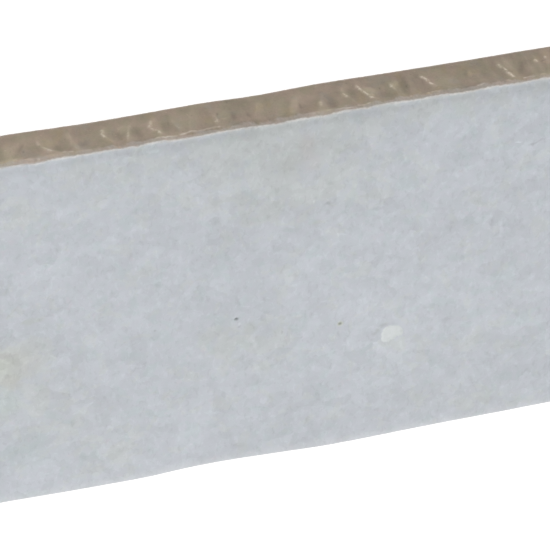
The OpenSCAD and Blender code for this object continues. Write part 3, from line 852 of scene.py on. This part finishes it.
class Shader:
    """A material with one Principled shader, and short names for its nodes."""

    def __init__(self, name, roughness, ior=1.5):
        self.material = bpy.data.materials.new(name)
        self.material.use_nodes = True
        self.tree = self.material.node_tree
        self.tree.nodes.clear()
        out = self.tree.nodes.new("ShaderNodeOutputMaterial")
        self.p = self.tree.nodes.new("ShaderNodeBsdfPrincipled")
        self.p.inputs["Roughness"].default_value = roughness
        self.p.inputs["IOR"].default_value = ior
        self.tree.links.new(self.p.outputs[0], out.inputs["Surface"])
        place = self.tree.nodes.new("ShaderNodeTexCoord")
        self.mm = self.vector("MULTIPLY", place.outputs["Object"], (1000, 1000, 1000))

    def put(self, socket, value):
        if isinstance(value, bpy.types.NodeSocket):
            self.tree.links.new(value, socket)
        elif value is not None:
            socket.default_value = value

    def vector(self, op, a, b):
        n = self.tree.nodes.new("ShaderNodeVectorMath")
        n.operation = op
        self.put(n.inputs[0], a)
        self.put(n.inputs[1], b)
        return n.outputs["Value" if op in ("LENGTH", "DISTANCE", "DOT_PRODUCT") else "Vector"]

    def math(self, op, a, b=None, c=None, clamp=False):
        n = self.tree.nodes.new("ShaderNodeMath")
        n.operation, n.use_clamp = op, clamp
        for s, v in zip(n.inputs, (a, b, c)):
            self.put(s, v)
        return n.outputs[0]

    def noise(self, size, detail=2.0, rough=0.5, distortion=0.0, offset=(0, 0, 0), stretch=(1, 1, 1), at=None):
        """Noise with features about size mm across, from 0 to 1."""
        n = self.tree.nodes.new("ShaderNodeTexNoise")
        v = self.vector("MULTIPLY", at or self.mm, tuple(1 / (size * s) for s in stretch))
        v = self.vector("ADD", v, offset)
        self.put(n.inputs["Vector"], v)
        n.inputs["Scale"].default_value = 1.0
        n.inputs["Detail"].default_value = detail
        n.inputs["Roughness"].default_value = rough
        n.inputs["Distortion"].default_value = distortion
        return n.outputs["Fac"]

    def cells(self, size, at, offset=(0, 0, 0)):
        """A random number from 0 to 1 for each irregular patch about size mm across."""
        n = self.tree.nodes.new("ShaderNodeTexVoronoi")
        n.voronoi_dimensions = "2D"
        v = self.vector("MULTIPLY", at, (1 / size, 1 / size, 1 / size))
        self.put(n.inputs["Vector"], self.vector("ADD", v, offset))
        n.inputs["Scale"].default_value = 1.0
        return self.separate(n.outputs["Color"], 0)

    def noise_colour(self, size, detail=2.0, rough=0.5):
        """Three unlike noises as one vector, each from 0 to 1."""
        n = self.tree.nodes.new("ShaderNodeTexNoise")
        self.put(n.inputs["Vector"], self.vector("MULTIPLY", self.mm, (1 / size,) * 3))
        n.inputs["Scale"].default_value = 1.0
        n.inputs["Detail"].default_value = detail
        n.inputs["Roughness"].default_value = rough
        return n.outputs["Color"]

    def separate(self, vector, which):
        n = self.tree.nodes.new("ShaderNodeSeparateXYZ")
        self.put(n.inputs[0], vector)
        return n.outputs[which]

    def span(self, value, a, b, low=0.0, high=1.0, smooth=True):
        """low where value reaches a, high where it reaches b, whichever of the two is larger."""
        n = self.tree.nodes.new("ShaderNodeMapRange")
        n.interpolation_type = "SMOOTHSTEP" if smooth else "LINEAR"
        n.clamp = True
        self.put(n.inputs["Value"], value)
        if a > b:
            a, b, low, high = b, a, high, low
        for k, v in (("From Min", a), ("From Max", b), ("To Min", low), ("To Max", high)):
            n.inputs[k].default_value = v
        return n.outputs["Result"]

    def mix(self, share, a, b, kind="MIX"):
        n = self.tree.nodes.new("ShaderNodeMix")
        n.data_type, n.blend_type = "RGBA", kind
        n.clamp_factor = True
        self.put(n.inputs["Factor"], share)
        self.put(n.inputs[6], a)
        self.put(n.inputs[7], b)
        return n.outputs[2]

    def attribute(self, name):
        n = self.tree.nodes.new("ShaderNodeAttribute")
        n.attribute_name = name
        return n.outputs["Fac"]

    def times(self, colour, value):
        """A colour made lighter or darker by a number near 1."""
        n = self.tree.nodes.new("ShaderNodeVectorMath")
        n.operation = "SCALE"
        self.put(n.inputs[0], colour)
        self.put(n.inputs["Scale"], value)
        return n.outputs["Vector"]

    def bump(self, height, depth_mm, strength=1.0):
        n = self.tree.nodes.new("ShaderNodeBump")
        n.inputs["Strength"].default_value = strength
        n.inputs["Distance"].default_value = depth_mm * MM
        self.put(n.inputs["Height"], height)
        self.put(self.p.inputs["Normal"], n.outputs[0])


# Marks on the glaze: (x, y, half sizes, turned by degrees, steps lighter or darker
# of a 255-step scale, how yellow)
MARKS = [
    (-7.12, -3.76, 0.35, 0.36, 0, -49, 0.2), (-7.9, -3.66, 0.2, 0.2, 0, -8, 0), (-6.61, -4.98, 0.26, 0.34, 0, 15, 0.1),
    (-6.63, -5.72, 0.24, 0.2, 0, -13, 0), (-6.95, 0.5, 0.5, 1.1, 8, -10, 0), (-6.6, 2.6, 0.5, 0.8, 0, -5, 0), (-10.0, 0.4, 0.5, 0.9, -10, -5, 0), (-4.7, -6.6, 1.3, 1.7, 0, -6, 0.6),
    (-0.7, -6.7, 0.8, 1.2, 0, -5, -0.4), (-3.1, -5.3, 0.9, 0.6, 0, 4, 0), (12.17, -9.22, 0.34, 0.34, 0, -42, 0.5), (12.3, -9.2, 0.55, 0.6, 0, -5, 2.0),
    (-22.0, -3.1, 0.24, 0.24, 0, -16, 0), (1.34, -8.86, 0.18, 0.5, 0, -9, 0), (25.9, 2.9, 0.7, 1.2, -20, 5, 0),
    (44.3, 26.4, 0.62, 0.2, -6, 20, 0), (47.0, 25.5, 1.1, 0.3, 14, -14, 0), (48.6, 26.0, 0.7, 0.22, 24, -9, 0),
    (39.43, 26.8, 0.5, 0.22, -8, -8, 0), (15.3, 16.75, 1.9, 0.3, -3, -5, 0), (18.6, 16.6, 1.2, 0.4, -12, -8, 0),
    (9.62, 19.8, 0.5, 0.34, 0, -15, 0), (10.4, 19.6, 0.7, 0.14, 0, -6, 0), (7.0, 20.65, 0.18, 0.4, 0, 12, 0),
    (41.9, 7.1, 0.34, 2.2, 0, 7, 0), (40.2, 8.4, 0.45, 1.5, 0, -6, 0), (7.6, 15.6, 1.1, 0.9, 0, -6, 0.2),
    (2.7, 15.0, 1.3, 1.0, 0, -5, 0), (-10.8, 19.9, 1.6, 0.8, 10, -5, 0), (-16.7, 22.3, 1.3, 0.7, 0, -4, 0),
    (29.2, -14.3, 0.9, 0.7, 0, -6, 0.2), (29.6, -8.8, 1.2, 0.5, 15, -5, 0), (33.4, -26.5, 1.5, 0.7, 10, -5, 0),
    (-31.8, -18.4, 1.3, 0.8, 0, -5, 0), (-6.9, -35.0, 1.4, 0.7, 0, -6, 0), (19.3, -12.5, 0.7, 0.5, -40, -13, 0.3),
    (18.8, -13.2, 0.55, 0.4, -10, -10, 0.2), (20.3, -11.4, 0.9, 0.45, 20, -12, 0.2), (21.8, -11.4, 0.9, 0.35, -8, -5, -0.3),
    (16.6, -15.6, 0.3, 0.5, 0, -7, 0), (27.0, -16.2, 0.9, 1.1, 20, -3.5, 0.3),
    (-21.7, 38.0, 1.2, 0.3, 0, 9, 0), (-25.6, 37.6, 0.9, 0.25, 0, 6, 0), (-45.0, 40.0, 6.5, 0.28, 0, -10, 0),
]


# Faint stains in the glaze: (x, y, half sizes, turned by degrees, how strong, colour)
STAINS = [
    (-45.4, -5.4, 3.2, 3.6, 0, 0.45, (187, 187, 186)), (-48.5, -9.4, 2.0, 2.0, 0, 0.5, (188, 188, 181)),
    (-49.4, -2.8, 3.0, 0.7, -3, 0.5, (187, 186, 187)), (-43.8, 4.2, 2.2, 0.8, -3, 0.55, (182, 188, 185)),
    (-49.4, -14.4, 3.0, 3.4, 0, 0.5, (191, 202, 198)), (-45.5, -27.0, 4.0, 5.0, 0, 0.3, (189, 200, 201)),
    (2.6, 29.9, 2.2, 2.7, 0, 0.5, (186, 189, 187)), (5.8, 34.0, 1.6, 2.8, 0, 0.45, (191, 187, 186)),
    (6.4, 29.8, 1.7, 2.3, 0, 0.4, (199, 195, 198)), (11.6, 31.3, 1.4, 0.7, 0, 0.5, (184, 190, 187)),
]


def glaze_marks(s, warp):
    """All the marks added up: one number for tone, one for yellow."""
    tone = yellow = None
    ragged = s.vector("ADD", s.mm, warp)
    steady = s.vector("ADD", s.mm, s.vector("MULTIPLY", warp, (0.2, 0.2, 0)))
    for x, y, rx, ry, turn, levels, tint in MARKS:
        n = s.tree.nodes.new("ShaderNodeMapping")
        n.vector_type = "TEXTURE"
        n.inputs["Location"].default_value = (x, y, 0)
        n.inputs["Rotation"].default_value = (0, 0, math.radians(turn))
        n.inputs["Scale"].default_value = (rx, ry, 1e4)
        s.put(n.inputs["Vector"], steady if max(rx, ry) <= 0.4 else ragged)
        near = s.span(s.vector("LENGTH", n.outputs[0], None), 1.5, 0.25)
        tone = s.math("MULTIPLY_ADD", near, levels, tone if tone is not None else 0.0)
        if tint:
            yellow = s.math("MULTIPLY_ADD", near, tint, yellow if yellow is not None else 0.0)
    return tone, yellow


def pressed_look(s, depth_scale=1.0):
    """The body where it was pressed: dusty, finely grained. Colour and height."""
    cloud = s.noise(14, 4, 0.6, 0.4, (3, 7, 1))
    patch = s.noise(3.4, 4, 0.62, 0.3, (9, 2, 5))
    grain = s.noise(0.42, 3, 0.6, 0, (1, 4, 8))
    colour = s.mix(s.span(cloud, 0.32, 0.68), linear(163, 150, 133), linear(176, 166, 151))
    colour = s.mix(s.span(patch, 0.4, 0.7, 0, 0.55), colour, linear(150, 136, 118))
    specks = s.span(s.noise(0.75, 2, 0.5, 0, (6, 6, 2)), 0.66, 0.74)
    colour = s.mix(s.math("MULTIPLY", specks, 0.5), colour, linear(112, 98, 82))
    colour = s.mix(s.math("MULTIPLY", s.span(s.noise(0.9, 2, 0.5, 0, (2, 5, 3)), 0.66, 0.74), 0.6), colour, linear(206, 198, 184))
    colour = s.times(colour, s.span(grain, 0.25, 0.75, 0.93, 1.07, False))
    height = s.math("ADD", s.math("MULTIPLY", grain, 0.45), s.math("MULTIPLY", patch, 0.8))
    return colour, height


def glaze():
    """Matt grey-blue glaze on the face and over the arris, thin and broken where it ends."""
    s = Shader("matt_glaze", 0.45)
    # tone: broad clouds, small patches with ragged borders, and short dark and pale strokes
    ragged = s.vector("SUBTRACT", s.noise_colour(1.3, 2, 0.6), (0.5, 0.5, 0.5))
    shifted = s.vector("ADD", s.mm, s.vector("MULTIPLY", ragged, (1.9, 1.9, 0)))
    clouds = s.noise(7, 4, 0.7, 0.0, (14, 5.6, 0))
    fine = s.noise(0.45, 2, 0.6, 0.0, (2, 8, 0))
    levels = s.math("MULTIPLY_ADD", s.math("SUBTRACT", clouds, 0.5), 20, s.attribute("shade"))
    levels = s.math("MULTIPLY_ADD", s.math("SUBTRACT", fine, 0.5), 2.5, levels)
    levels = s.math("MULTIPLY_ADD", s.math("SUBTRACT", s.cells(2.9, shifted, (3, 1, 0)), 0.5), 6.6, levels)
    levels = s.math("MULTIPLY_ADD", s.math("SUBTRACT", s.cells(1.4, shifted, (8, 6, 0)), 0.5), 5.8, levels)
    stroke = s.noise(1.05, 1, 0.5, 0.7, (5, 1, 0), stretch=(0.8, 1.3, 1))
    levels = s.math("ADD", s.span(stroke, 0.61, 0.69, 0.0, -5.5), levels)
    levels = s.math("ADD", s.span(stroke, 0.39, 0.32, 0.0, 5.0), levels)
    warp = s.vector("MULTIPLY", ragged, (0.9, 0.9, 0))
    marks, yellow = glaze_marks(s, warp)
    levels = s.math("ADD", levels, marks)
    # darker just inside the broken rim, more in the middle of the strip than at its sides
    rim = s.span(s.attribute("from_break"), 4.4, 0.9)
    levels = s.math("MULTIPLY_ADD", rim, -5.0, levels)
    levels = s.math("MULTIPLY_ADD", s.span(s.attribute("from_break"), 3.0, 1.1), -4.0, levels)
    levels = s.math("MULTIPLY_ADD", s.span(s.attribute("from_break"), 10.0, 2.5), -2.5, levels)
    # and paler again along the rim itself
    nib = s.math("MULTIPLY_ADD", s.math("SUBTRACT", s.noise(0.8, 3, 0.6, 0.0, (6, 3, 0)), 0.5), 0.9, s.attribute("from_break"))
    pale = s.span(s.noise(2.4, 4, 0.75, 0.0, (2, 5, 0)), 0.34, 0.66, 0.0, 21.0)
    levels = s.math("MULTIPLY_ADD", s.span(nib, 0.55, 0.12), pale, levels)
    levels = s.math("ADD", levels, s.span(s.attribute("from_break"), 1.3, 0.4, 0.0, 6.3))
    # hue: grey-blue, with small patches of olive, teal and pink, and a yellowish stain
    colour = s.mix(s.span(s.noise(1.6, 2, 0.5, 0.0, (31, 3, 0)), 0.4, 0.6), linear(194.1, 197.5, 204.3), linear(192.7, 197.8, 203.4))
    patch = s.noise(4.2, 3, 0.6, 0.5, (21, 13, 0))
    broad = s.attribute("olive")
    patches = s.span(s.math("MULTIPLY_ADD", broad, 0.24, patch), 0.56, 0.63)
    yellow = s.math("ADD", yellow, s.math("MULTIPLY_ADD", broad, 0.35, s.math("MULTIPLY", patches, 0.42)))
    teal = s.span(s.noise(3.6, 2, 0.55, 0.5, (7, 43, 0)), 0.58, 0.66, 0.0, 0.65)
    colour = s.mix(teal, colour, linear(188.0, 196.9, 200.4))
    colour = s.mix(s.span(s.noise(1.9, 2, 0.5, 0.4, (17, 3, 0)), 0.67, 0.73, 0.0, 0.45), colour, linear(199.5, 196.4, 204.4))
    n = s.tree.nodes.new("ShaderNodeMapping")
    n.vector_type = "TEXTURE"
    n.inputs["Location"].default_value = (-50.0, -5.0, 0)
    n.inputs["Scale"].default_value = (5.5, 4.6, 1e4)
    s.put(n.inputs["Vector"], s.vector("ADD", s.mm, s.vector("MULTIPLY", warp, (5, 5, 0))))
    stain = s.span(s.vector("LENGTH", n.outputs[0], None), 1.25, 0.2)
    yellow = s.math("ADD", s.math("MULTIPLY_ADD", stain, 0.75, yellow), s.math("MULTIPLY", rim, 0.05))
    colour = s.mix(s.math("MULTIPLY", yellow, 0.5, clamp=True), colour, linear(200.0, 204.3, 194.5))
    uneven = s.vector("ADD", s.mm, s.vector("MULTIPLY", warp, (2, 2, 0)))
    for x, y, rx, ry, turn, strong, tint in STAINS:
        n = s.tree.nodes.new("ShaderNodeMapping")
        n.vector_type = "TEXTURE"
        n.inputs["Location"].default_value = (x, y, 0)
        n.inputs["Rotation"].default_value = (0, 0, math.radians(turn))
        n.inputs["Scale"].default_value = (rx, ry, 1e4)
        s.put(n.inputs["Vector"], uneven)
        colour = s.mix(s.span(s.vector("LENGTH", n.outputs[0], None), 1.35, 0.4, 0.0, strong), colour, linear(*tint))
    colour = s.mix(s.span(nib, 0.55, 0.1, 0.0, 0.6), colour, linear(197.5, 193.5, 188.5))
    # the arris: the glaze is thin and pale there, and a painted highlight where the rounded arris catches the light
    away = s.span(s.attribute("from_pressed"), 1.6, 0.0)
    round_it = s.span(s.attribute("down"), 0.0, 2.6)
    pale = s.math("ADD", s.math("MULTIPLY", away, 0.16), s.math("MULTIPLY", round_it, 0.5))
    colour = s.mix(pale, colour, linear(226, 227, 227))
    # the flake out of the glaze shows the pale layer under it
    chip = s.span(s.math("ADD", s.attribute("chip"), s.math("MULTIPLY", s.math("SUBTRACT", fine, 0.5), 0.5)), -0.22, 0.22)
    inner = s.mix(s.span(s.noise(1.1, 3, 0.6, 0, (4, 4, 0)), 0.35, 0.65), linear(215, 219, 220), linear(210, 215, 214.5))
    levels = s.math("MULTIPLY", levels, s.math("SUBTRACT", 1.0, s.math("MULTIPLY", chip, 0.75)))
    colour = s.mix(chip, colour, inner)
    colour = s.times(colour, s.math("MULTIPLY_ADD", levels, 0.0113, 1.0))
    # the lower limit of the glaze on the pressed edge
    limit = s.math("ADD", 3.5, s.math("MULTIPLY", s.math("SUBTRACT", s.noise(6.5, 4, 0.62, 0.4, (7, 7, 7)), 0.5), 4.6))
    below = s.math("SUBTRACT", s.attribute("down"), limit)
    bare = s.span(below, -0.05, 0.16)
    thin = s.span(below, -1.5, 0.05)
    body, body_height = pressed_look(s)
    colour = s.mix(s.math("MULTIPLY", thin, 0.45), colour, linear(196, 189, 178))
    colour = s.mix(bare, colour, body)
    s.put(s.p.inputs["Base Color"], colour)
    rough = s.span(clouds, 0.3, 0.7, 0.40, 0.50)
    rough = s.math("MULTIPLY_ADD", chip, 0.2, rough)
    rough = s.math("MULTIPLY_ADD", bare, 0.35, rough)
    s.put(s.p.inputs["Roughness"], rough)
    skin = s.math("ADD", s.math("MULTIPLY", s.noise(1.3, 3, 0.55, 0, (3, 3, 3)), 0.10), s.math("MULTIPLY", fine, 0.03))
    skin = s.math("MULTIPLY_ADD", chip, 0.12, skin)
    height = s.math("ADD", s.math("MULTIPLY", skin, s.math("SUBTRACT", 1.0, bare)), s.math("MULTIPLY", body_height, s.math("MULTIPLY", bare, 0.6)))
    s.bump(height, 0.18, 0.7)
    return s.material


def broken_body():
    """The fired body where it broke, with the cut edge of the glaze along its top."""
    s = Shader("broken_body", 0.82)
    hue = s.noise(5.0, 4, 0.6, 0.4, (3, 1, 2))
    hue2 = s.noise(1.7, 3, 0.6, 0.3, (13, 6, 2))
    olive = s.math("ADD", s.math("MULTIPLY", hue, 0.6), s.math("MULTIPLY", hue2, 0.4))
    colour = s.mix(s.span(olive, 0.40, 0.60), linear(143.0, 128.1, 114.6), linear(137.7, 128.9, 110.7))
    warm = s.noise(4.4, 4, 0.6, 0.3, (9, 17, 4))
    colour = s.mix(s.span(warm, 0.54, 0.66, 0.0, 0.6), colour, linear(141.2, 127.6, 104.6))
    colour = s.mix(s.span(warm, 0.45, 0.34, 0.0, 0.6), colour, linear(137.8, 130.1, 119.4))
    clouds = s.noise(7.0, 6, 0.8, 0.3, (5, 5, 5))
    grain = s.noise(0.34, 2, 0.6, 0.0, (7, 2, 9))
    lumps = s.noise(1.1, 2, 0.5, 0.6, (1, 9, 4))
    levels = s.math("MULTIPLY", s.math("SUBTRACT", clouds, 0.5), 44)
    levels = s.math("MULTIPLY_ADD", s.math("SUBTRACT", s.noise(26, 2, 0.6, 0, (8, 5, 1)), 0.5), 14, levels)
    levels = s.math("MULTIPLY_ADD", s.math("SUBTRACT", grain, 0.5), 9, levels)
    levels = s.math("MULTIPLY_ADD", s.math("SUBTRACT", lumps, 0.5), 6, levels)
    # the break's tone from the mesh, with the painted light and shade round its ridges, places and slits
    levels = s.math("ADD", levels, s.attribute("tone"))
    # painted shade: the lowest part of the break, which the floor lights, is painted a little darker
    levels = s.math("ADD", levels, s.span(s.separate(s.mm, 2), 2.6, 0.8, 0.0, -2.5))
    # fine pale and dark grains in the body
    specks = s.span(s.noise(0.5, 1, 0.5, 0, (6, 6, 2)), 0.70, 0.78)
    levels = s.math("MULTIPLY_ADD", specks, -9, levels)
    specks = s.span(s.noise(0.55, 1, 0.5, 0, (2, 9, 3)), 0.71, 0.79)
    levels = s.math("MULTIPLY_ADD", specks, 12, levels)
    # a paler, pinkish zone close under the glaze, broken up by short upright ticks
    up = s.separate(s.mm, 2)
    zone = s.math("ADD", up, s.math("MULTIPLY", s.math("SUBTRACT", s.noise(3.6, 3, 0.6, 0.3, (8, 1, 1)), 0.5), 4.6))
    zone = s.span(zone, T - 1.55, T - 0.75)
    zone_tint = s.mix(s.span(s.noise(2.4, 3, 0.5, 0, (1, 7, 7)), 0.4, 0.6), linear(161, 151, 145), linear(157, 153, 148))
    ticks = s.noise(0.5, 2, 0.6, 0.3, (4, 8, 2), stretch=(0.8, 1, 2.4))
    ticks = s.math("MULTIPLY", s.span(ticks, 0.32, 0.68, -6, 6, False), s.span(up, T - 1.9, T - 0.9))
    levels = s.math("ADD", levels, ticks)
    colour = s.times(colour, s.math("MULTIPLY_ADD", levels, 0.0155, 1.0))
    colour = s.mix(s.math("MULTIPLY", zone, 0.55), colour, s.times(zone_tint, s.math("MULTIPLY_ADD", ticks, 0.012, 1.0)))
    colour = s.mix(s.attribute("lip"), colour, linear(192, 182, 170))
    # crushed, paler crests, with a painted highlight on them
    colour = s.mix(s.math("MULTIPLY", s.attribute("crest"), 0.68), colour, linear(210, 199, 183))
    # the lowest edge of the break is a little paler
    foot = s.math("MULTIPLY_ADD", s.math("SUBTRACT", grain, 0.5), 0.5, up)
    colour = s.mix(s.span(foot, 0.42, 0.05, 0.0, 0.40), colour, linear(182, 177, 171))
    # the cut through the glaze: a pale line of uneven strength
    cut = s.math("MULTIPLY", s.attribute("section"), s.span(s.noise(1.5, 4, 0.65, 0.2, (4, 2, 6)), 0.28, 0.52, 0.55, 1.0))
    glassy = s.mix(s.span(s.noise(2.7, 3, 0.6, 0, (9, 9, 1)), 0.48, 0.62), linear(191, 190, 188.5), linear(192, 187, 181.5))
    glassy = s.times(glassy, s.span(s.noise(0.6, 2, 0.6, 0, (3, 8, 3)), 0.3, 0.7, 0.86, 1.14, False))
    colour = s.mix(cut, colour, glassy)
    s.put(s.p.inputs["Base Color"], colour)
    s.put(s.p.inputs["Roughness"], s.span(cut, 0.0, 1.0, 0.86, 0.42))
    height = s.math("ADD", s.math("MULTIPLY", grain, 0.3), s.math("MULTIPLY", lumps, 0.5))
    height = s.math("MULTIPLY_ADD", s.noise(0.16, 1, 0.5, 0, (5, 3, 3)), 0.14, height)
    s.bump(height, 0.16, 0.8)
    return s.material


def pressed_body():
    """The back: bare body with dusty white wash left on its ribs, and painted shade in its recesses."""
    s = Shader("pressed_body", 0.88)
    colour, height = pressed_look(s)
    low = s.span(s.separate(s.mm, 2), 0.05, 0.35)
    wash = s.noise(9.0, 5, 0.66, 0.5, (2, 2, 9))
    wiped = s.noise(2.0, 3, 0.6, 0.2, (7, 1, 9), stretch=(3.5, 1, 1))
    dust = s.math("ADD", s.math("MULTIPLY", wash, 0.6), s.math("MULTIPLY", wiped, 0.4))
    dust = s.math("MULTIPLY", s.span(dust, 0.40, 0.60), s.math("SUBTRACT", 0.62, s.math("MULTIPLY", low, 0.5)))
    colour = s.mix(dust, colour, linear(212, 208, 199))
    # painted shade: the recess floors are painted a little darker
    colour = s.times(colour, s.math("SUBTRACT", 1.0, s.math("MULTIPLY", low, 0.06)))
    s.put(s.p.inputs["Base Color"], colour)
    s.bump(height, 0.16, 0.8)
    return s.material


for m in (glaze(), None, broken_body(), pressed_body()):
    mesh.materials.append(m or mesh.materials[0])
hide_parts("tile")
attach(tile, "root")

# ---------------------------------------------------------------- stage
floor_mesh = bpy.data.meshes.new("floor")
floor_mesh.from_pydata([(-9, -9, 0), (9, -9, 0), (9, 9, 0), (-9, 9, 0)], [], [(0, 1, 2, 3)])
floor = bpy.data.objects.new("floor", floor_mesh)
bpy.context.scene.collection.objects.link(floor)
fs = Shader("pale_floor", 0.9)
fs.put(fs.p.inputs["Base Color"], (0.8, 0.8, 0.8, 1))
fs.put(fs.p.inputs["Emission Color"], (1, 1, 1, 1))
away = fs.vector("LENGTH", fs.mm, None)
fs.put(fs.p.inputs["Emission Strength"], fs.span(away, 500, 2200, 0.42, 0.64))
fs.put(fs.p.inputs["Specular IOR Level"], 0.0)
floor_mesh.materials.append(fs.material)

world = bpy.data.worlds.new("studio")
bpy.context.scene.world = world
world.use_nodes = True
# an even white dome, a little brighter towards the horizon
tree = world.node_tree
tree.nodes["Background"].inputs[0].default_value = (1, 1, 1, 1)
way = tree.nodes.new("ShaderNodeTexCoord")
split = tree.nodes.new("ShaderNodeSeparateXYZ")
dome = tree.nodes.new("ShaderNodeMapRange")
for k, v in (("From Min", 0.05), ("From Max", 0.2), ("To Min", 1.0), ("To Max", 0.485)):
    dome.inputs[k].default_value = v
tree.links.new(way.outputs["Generated"], split.inputs[0])
tree.links.new(split.outputs["Z"], dome.inputs["Value"])
tree.links.new(dome.outputs["Result"], tree.nodes["Background"].inputs[1])


def area_light(name, place, size, power, colour=(1, 1, 1)):
    data = bpy.data.lights.new(name, "AREA")
    data.shape, data.size, data.energy, data.color = "SQUARE", size, power, colour
    light = bpy.data.objects.new(name, data)
    light.location = place
    light.rotation_mode = "QUATERNION"
    light.rotation_quaternion = (-Vector(place)).to_track_quat("-Z", "Y")
    light.visible_camera = False
    bpy.context.scene.collection.objects.link(light)
    return light


area_light("key", (1.5, 1.1, 1.6), 1.2, 31.5)
area_light("fill", (-1.6, 0.6, 1.6), 1.6, 6)
area_light("front", (0.3, -1.8, 0.8), 1.4, 7)

# ---------------------------------------------------------------- camera
# The strip lies flat, so the camera looks down on it, from the broken edge's side
PITCH, TURN_LEFT, ROLL = math.radians(41.320), math.radians(15.0), math.radians(0.159)
DISTANCE, TARGET_Y, FOCAL = 672.94, 5.221, 3800.0
back_dir = Vector((
    -math.cos(PITCH) * math.sin(TURN_LEFT), math.sin(PITCH), math.cos(PITCH) * math.cos(TURN_LEFT)
))
right_dir = Vector((0, 1, 0)).cross(back_dir).normalized()
up_dir = back_dir.cross(right_dir)
cr, sr = math.cos(ROLL), math.sin(ROLL)
right_dir, up_dir = cr * right_dir + sr * up_dir, -sr * right_dir + cr * up_dir
camera_data = bpy.data.cameras.new("camera")
camera_data.sensor_fit, camera_data.sensor_width = "HORIZONTAL", 36.0
camera_data.lens = FOCAL * 36.0 / 550
camera_data.clip_start, camera_data.clip_end = 0.01, 60
camera = bpy.data.objects.new("camera", camera_data)
place = (Vector((0, TARGET_Y, T)) + back_dir * DISTANCE) * MM
turn = Matrix((right_dir, up_dir, back_dir)).transposed().to_4x4()
camera.matrix_world = Matrix.Translation(place) @ turn
bpy.context.scene.collection.objects.link(camera)
bpy.context.scene.camera = camera
bpy.context.scene.view_settings.view_transform = "Standard"
